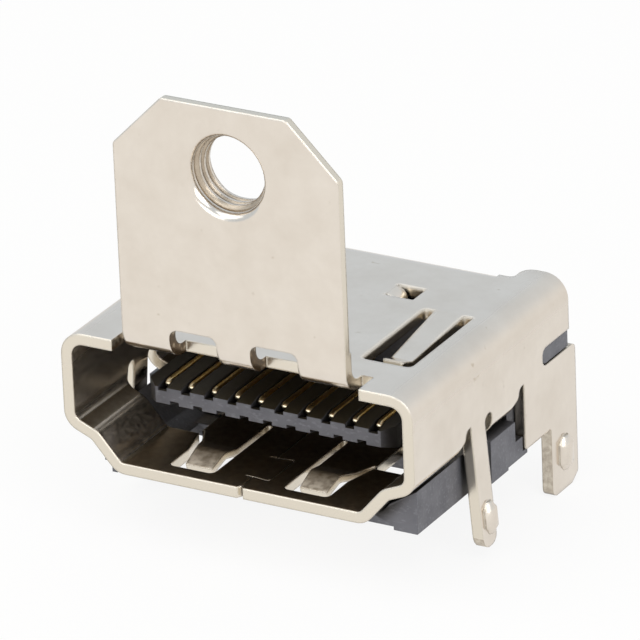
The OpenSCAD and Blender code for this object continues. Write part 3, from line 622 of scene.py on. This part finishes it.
def depth_below(mesh: bpy.types.Mesh, skin_mm: float = 0.003, flattest: float = 1e-18) -> np.ndarray:
    """Measures the material under each face, as the distance that a ray from the face runs inside the piece.

    A ray starts in the middle of the face's largest triangle and runs against the face's normal; its crossing with
    each triangle solves start + t * direction = a + u * ab + v * ac, for all pairs at once.

    Args:
        mesh: a closed mesh with whole faces.
        skin_mm: how far below the face the ray starts.
        flattest: the size of a determinant below which ray and triangle count as parallel.

    Returns:
        The distance in millimetres for each face, and infinity where the ray meets nothing.
    """
    corner, owner = triangles(mesh)
    first, ab, ac = corner[:, 0], corner[:, 1] - corner[:, 0], corner[:, 2] - corner[:, 0]
    across = np.cross(ab, ac)
    area = np.linalg.norm(across, axis=1)
    order = np.argsort(area)
    largest = np.zeros(len(mesh.polygons), int)
    largest[owner[order]] = order
    ray = -across[largest] / np.maximum(area[largest], np.finfo(np.float32).tiny)[:, None]
    start = corner[largest].mean(axis=1) + ray * skin_mm * MM
    p = np.cross(ray[:, None], ac[None])
    det = np.einsum("tk,ftk->ft", ab, p)
    safe = np.where(np.abs(det) < flattest, np.inf, det)
    gap = start[:, None] - first[None]
    u = np.einsum("ftk,ftk->ft", gap, p) / safe
    q = np.cross(gap, ab[None])
    v = np.einsum("fk,ftk->ft", ray, q) / safe
    t = np.einsum("tk,ftk->ft", ac, q) / safe
    hit = (u >= 0) & (v >= 0) & (u + v <= 1) & (t > 0) & np.isfinite(safe)
    return np.where(hit, t, np.inf).min(axis=1) / MM


def ring_faces(turns: int, sides: int) -> list[list[int]]:
    """Faces of a closed profile of sides points, carried along turns places, with a cap at each end."""
    row, side = np.meshgrid(np.arange(turns - 1), np.arange(sides), indexing="ij")
    after = (side + 1) % sides
    quads = np.stack([row * sides + side, (row + 1) * sides + side,
                      (row + 1) * sides + after, row * sides + after], axis=-1).reshape(-1, 4)
    caps = [list(range(sides)), list(range((turns - 1) * sides, turns * sides))[::-1]]
    return quads.tolist() + caps


@dataclass
class Shell:
    """The folded metal shell with its screw flange."""

    finish: PlatedSheet = field(default_factory=PlatedSheet)
    thinnest_mm: float = 0.26
    thickest_mm: float = 0.52
    cavity_mm: tuple[float, float, float] = (7.02, 9.0, 5.6)
    floor_z_mm: float = 1.0
    floor_slack_mm: float = 0.2
    front_y_mm: float = 0.02
    pad_mm: tuple[float, float, float] = (1.8, 3.1, 2.3)
    pad_z_mm: float = 1.3
    rim_y_mm: float = 0.1
    root_z_mm: tuple[float, float] = (5.4, 7.0)
    root_y_mm: float = 1.6
    relief_x_mm: float = 4.4
    relief_z_mm: float = 6.1
    board_z_mm: float = 0.3
    slot_z_mm: float = 1.3
    slot_x_mm: float = 4.2
    wall_share: float = 0.5
    leg_share: float = 0.45
    window_share: float = 1.8
    window_x_mm: float = 3.2
    side_turn: float = 0.25
    hump_turn: float = 0.3
    half_turn: float = 0.5
    flat_turn: float = 0.9
    hole_z_mm: float = 13.5
    roll_r_mm: float = 2.1
    roll_y_mm: float = 0.4
    root_r_mm: float = 1.5
    thread_depth_mm: float = 0.17
    thread_pitch_mm: float = 0.33
    thread_from_mm: float = 0.42
    thread_turns: float = 2.75
    thread_start: float = math.pi / 2
    crest_share: float = 0.0
    flank_shade_share: float = 0.75
    thread_least: float = 0.02
    ridge_offset_mm: tuple[float, ...] = (-0.16, -0.06, 0.06, 0.16, 0.12, -0.12)
    ridge_height: tuple[float, ...] = (0.0, 1.0, 1.0, 0.0, -0.2, -0.2)
    steps_per_turn: int = 72

    def build(self) -> None:
        """Dresses the shell and cuts the screw thread into its hole."""
        material = self.finish.material()
        mesh = whole_faces("shell")
        self.mark_sheet(mesh)
        keep_flat(show("plated_shell", mesh, material, Slot.SHEET, "shell"))
        show("screw_thread", self.thread(), material, Slot.SHEET)

    def mark_sheet(self, mesh: bpy.types.Mesh) -> None:
        """Marks the sheared edges, the inside of the sleeve and the pads of the floor's spring fingers.

        A face is a sheared edge where the material below it isn't one sheet thick, and it is inside where its normal
        turns towards the cavity's axis. The punch tears most at the ends of the flange's windows, less at the reliefs
        beside its root and least at the legs, and the edges that face the mouth are coined smooth. The hole's rolled
        edge and the legs' embossed humps are plated as the sheet is, and the hole's bore takes the inside's mark: thin
        plate and painted shade. Inside, flat faces take the full mark and walls a share of it, so the painted shade is
        fuller on the floor and roof. The humps are stretched as the bends are.

        Args:
            mesh: the shell with whole faces.
        """
        middle, normal = face_places(mesh)
        x, y, z = middle.T
        nx, ny, nz = normal.T
        depth = depth_below(mesh)
        from_axis = np.hypot(x, z - self.hole_z_mm)
        rolled = (from_axis < self.roll_r_mm) & (y < self.roll_y_mm)
        bore = (from_axis < self.roll_r_mm) & ~rolled & (nx * x + nz * (z - self.hole_z_mm) < 0)
        hump = (z < self.board_z_mm) & (np.abs(nx) > self.side_turn)
        broad = (depth > self.thinnest_mm) & (depth < self.thickest_mm) | rolled | hump
        wide, deep, high = self.cavity_mm
        under = self.floor_z_mm - self.floor_slack_mm
        held = (np.abs(x) < wide) & (y > self.front_y_mm) & (y < deep) & (z > under) & (z < high)
        inward = nz * ((self.floor_z_mm + high) / 2 - z) - nx * x / 2 > 0
        pad_from, pad_to, pad_y = self.pad_mm
        pad = held & (np.abs(x) > pad_from) & (np.abs(x) < pad_to) & (y < pad_y)
        pad &= (nz > self.half_turn) & (z < self.pad_z_mm)
        coined = (ny < -self.half_turn) & ((y < self.rim_y_mm) | (z > self.board_z_mm))
        slot = (z < self.slot_z_mm) & (np.abs(x) < self.slot_x_mm)
        low, high = self.root_z_mm
        root = (z > low) & (z < high) & (y < self.root_y_mm)
        window_end = (nx > self.side_turn) & (np.abs(x) < self.window_x_mm)
        relief = (np.abs(x) > self.relief_x_mm) & (z < self.relief_z_mm)
        torn = np.where(root, np.where(window_end, self.window_share, relief), self.leg_share * (z < low))
        # Flat inside faces, floor and roof, take the full darker inside tint and walls a share of it: painted shade.
        lining = np.where(np.abs(nz) > self.flat_turn, 1.0, self.wall_share)
        mark_faces(mesh, {
            Mark.CUT: ~broad,
            Mark.TORN: torn * (~broad & ~coined & ~slot & ~bore),
            Mark.INSIDE: np.where(broad & held & inward, lining, bore),
            Mark.SCUFFED: pad,
            Mark.BENT: hump & (np.abs(ny) + np.abs(nz) > self.hump_turn),
        })

    def thread(self) -> bpy.types.Mesh:
        """Builds the thread: a ridge profile carried along a helix around the hole's axis.

        At turn angle a, a profile point with offset s along the axis and height k has the radius
        root - k * depth * fade(a), the depth from + pitch * a / 2 pi + s, and the angle start + a. Fade rises to 1 over
        the first quarter turn and falls over the last. The helix starts at the top of the hole.

        Returns:
            The thread's mesh.
        """
        angle = np.linspace(0, self.thread_turns * 2 * math.pi, int(self.thread_turns * self.steps_per_turn))
        fade = np.clip(np.minimum(angle, angle[-1] - angle) / (math.pi / 2), self.thread_least, 1)
        offset, height = np.array(self.ridge_offset_mm), np.array(self.ridge_height)
        radius = self.root_r_mm - np.where(height > 0, height * fade[:, None], height) * self.thread_depth_mm
        depth = self.thread_from_mm + self.thread_pitch_mm * angle[:, None] / (2 * math.pi) + offset
        turned = self.thread_start + angle[:, None]
        points = np.stack([radius * np.cos(turned), depth, self.hole_z_mm + radius * np.sin(turned)], axis=-1)
        mesh = bpy.data.meshes.new("screw_thread")
        mesh.from_pydata((points.reshape(-1, 3) * MM).tolist(), [], ring_faces(len(angle), len(offset)))
        body = bmesh.new()
        body.from_mesh(mesh)
        bmesh.ops.recalc_face_normals(body, faces=body.faces)
        body.to_mesh(mesh)
        body.free()
        mesh.polygons.foreach_set("use_smooth", np.zeros(len(mesh.polygons), bool))
        # The flanks take the inside's darker tint, painted shade between the ridges; the crests stay pale.
        tint = np.full(len(mesh.polygons), self.flank_shade_share)
        tint[1:(len(angle) - 1) * len(offset):len(offset)] = self.crest_share
        mark_faces(mesh, {Mark.INSIDE: tint})
        return mesh


@dataclass
class Mouldings:
    """The two plastic pieces: the insert with the contact tongue, and the base."""

    housing: FilledPlastic = field(default_factory=lambda: FilledPlastic("glass_filled_plastic_moulded_insert"))
    base: FilledPlastic = field(default_factory=lambda: FilledPlastic("glass_filled_plastic_moulded_base"))
    tongue_mm: tuple[float, float] = (2.3, 7.4)
    level_turn: float = 0.5

    def build(self) -> None:
        """Dresses the insert and the base."""
        mesh = whole_faces("housing")
        self.mark_tongue(mesh)
        insert = show("moulded_insert", mesh, self.housing.material(), Slot.HOUSING, "housing")
        base = show("moulded_base", whole_faces("base"), self.base.material(), Slot.BASE, "base")
        keep_flat(insert)
        keep_flat(base)

    def mark_tongue(self, mesh: bpy.types.Mesh) -> None:
        """Marks the tongue's upper and lower sides, which face up or down between the given depths, for their painted
        shade.

        Args:
            mesh: the insert with whole faces.
        """
        middle, normal = face_places(mesh)
        front, rear = self.tongue_mm
        between = (middle[:, 1] > front) & (middle[:, 1] < rear) & (np.abs(normal[:, 2]) > self.level_turn)
        mark_faces(mesh, {Mark.TONGUE_SHADE: between})


@dataclass
class Contacts:
    """The two rows of plated contacts."""

    counts: dict[Row, int] = field(default_factory=lambda: {Row.UPPER: 10, Row.LOWER: 9})
    finish: PlatedContact = field(default_factory=PlatedContact)
    rounding: Rounding = field(default_factory=lambda: Rounding(width_mm=0.1, segments=4))

    def build(self) -> None:
        """Dresses every contact of both rows."""
        material = self.finish.material()
        for row, count in self.counts.items():
            for place in range(1, count + 1):
                node = f"{row.value}_contact_{place:02d}"
                name = f"plated_{row.value}_contact_{place:02d}"
                self.rounding.apply(show(name, whole_faces(node), material, Slot.CONTACT, node))


@dataclass(frozen=True)
class Softbox:
    """A square lamp with an even soft light."""

    name: str
    place_mm: tuple[float, float, float]
    size_mm: float
    watts: float

    def build(self, aim: Vector) -> None:
        """Hangs the lamp and turns it to the aim.

        Args:
            aim: the point that it lights.
        """
        lamp = bpy.data.lights.new(self.name, "AREA")
        lamp.size = self.size_mm * MM
        lamp.energy = self.watts
        stand = bpy.data.objects.new(self.name, lamp)
        stand.location = Vector(self.place_mm) * MM
        stand.rotation_euler = (aim - stand.location).to_track_quat("-Z", "Y").to_euler()
        bpy.context.scene.collection.objects.link(stand)


@dataclass
class Studio:
    """The floor, the light and the camera."""

    floor_z_mm: float = -2.56
    floor_r_mm: float = 900.0
    floor_sides: int = 96
    sky: str = "#DDE6F0"
    fill_low: float = 0.2
    fill_high: float = 0.8
    haze_to: float = 0.8
    haze_side: tuple[float, float] = (0.2, -0.3)
    softboxes: tuple[Softbox, ...] = (
        Softbox("softbox_right", (265.0, -215.0, 290.0), 300.0, 0.78),
        Softbox("softbox_left", (-215.0, -190.0, 350.0), 350.0, 0.5),
        Softbox("softbox_front", (-70.0, -330.0, 100.0), 160.0, 0.14),
    )
    camera_mm: tuple[float, float, float] = (135.11653, -226.15325, 125.80847)
    camera_degrees: tuple[float, float, float] = (65.82443174, 2.11389142, 29.20538486)
    lens_mm: float = 443.606
    sensor_mm: float = 36.0
    nearest_mm: float = 10.0

    def build(self) -> None:
        """Sets out the floor, the world, the lamps and the camera."""
        self.lay_floor()
        self.hang_sky()
        low, high = CAD_BOX
        for box in self.softboxes:
            box.build((low + high) / 2)
        self.place_camera()
        bpy.context.scene.view_settings.view_transform = "Standard"

    def lay_floor(self) -> None:
        """Lays the paper: a disc whose edge point at angle a is (r cos a, r sin a)."""
        angle = np.linspace(0, 2 * math.pi, self.floor_sides, endpoint=False)
        x, y = self.floor_r_mm * np.cos(angle), self.floor_r_mm * np.sin(angle)
        points = np.stack([x, y, np.full_like(x, self.floor_z_mm)], axis=-1) * MM
        mesh = bpy.data.meshes.new("paper_floor")
        mesh.from_pydata(points.tolist(), [], [list(range(len(angle)))])
        mesh.materials.append(WhiteSweep().material())
        floor = bpy.data.objects.new("paper_floor", mesh)
        bpy.context.scene.collection.objects.link(floor)

    def hang_sky(self) -> None:
        """Lights the part from above.

        The world is white to the camera. In the metal it is white low down on the right, and pale cool grey above and
        on the left.
        """
        world = bpy.data.worlds.new("studio")
        world.use_nodes = True
        tree = world.node_tree
        tree.nodes.clear()
        path = add_node(tree, "ShaderNodeLightPath").outputs
        mirrored = add_node(tree, "ShaderNodeMath", {
            0: path["Is Glossy Ray"], 1: path["Is Transmission Ray"]}, operation="MAXIMUM").outputs[0]
        aim = add_node(tree, "ShaderNodeTexCoord").outputs["Generated"]
        height = add_node(tree, "ShaderNodeSeparateXYZ", {0: aim}).outputs["Z"]
        fill = add_node(tree, "ShaderNodeMapRange", {
            "Value": height, 3: self.fill_low, 4: self.fill_high}).outputs[0]
        even = add_node(tree, "ShaderNodeBackground", {
            "Color": linear(WHITE), "Strength": fill}).outputs[0]
        across = add_node(tree, "ShaderNodeSeparateXYZ", {0: aim}).outputs["X"]
        right, left = self.haze_side
        window = add_node(tree, "ShaderNodeMapRange", {"Value": across, 1: right, 2: left}).outputs[0]
        above = add_node(tree, "ShaderNodeMapRange", {
            "Value": height, 2: self.haze_to}, interpolation_type="SMOOTHSTEP").outputs[0]
        lift = add_node(tree, "ShaderNodeMath", {0: above, 1: window}, operation="MAXIMUM").outputs[0]
        tint = add_node(tree, "ShaderNodeMix", {
            0: lift, 6: linear(WHITE), 7: linear(self.sky)}, data_type="RGBA").outputs[2]
        cool = add_node(tree, "ShaderNodeBackground", {"Color": tint, "Strength": 1.0}).outputs[0]
        white = add_node(tree, "ShaderNodeBackground", {"Color": linear(WHITE), "Strength": 1.0}).outputs[0]
        around = add_node(tree, "ShaderNodeMixShader", {0: mirrored, 1: even, 2: cool}).outputs[0]
        seen = add_node(tree, "ShaderNodeMixShader", {0: path["Is Camera Ray"], 1: around, 2: white}).outputs[0]
        add_node(tree, "ShaderNodeOutputWorld", {"Surface": seen})
        bpy.context.scene.world = world

    def place_camera(self) -> None:
        """Sets the camera at the photograph's view."""
        lens = bpy.data.cameras.new("camera")
        lens.lens = self.lens_mm
        lens.sensor_width = self.sensor_mm
        lens.clip_start = self.nearest_mm * MM
        camera = bpy.data.objects.new("camera", lens)
        camera.location = Vector(self.camera_mm) * MM
        camera.rotation_euler = Euler([math.radians(a) for a in self.camera_degrees], "XYZ")
        bpy.context.scene.collection.objects.link(camera)
        bpy.context.scene.camera = camera


def main() -> None:
    """Builds the sub-assemblies and the studio in order."""
    logging.basicConfig(level=logging.INFO, format="%(name)s %(message)s")
    Shell().build()
    Mouldings().build()
    Contacts().build()
    Studio().build()


if __name__ == "__main__":
    main()
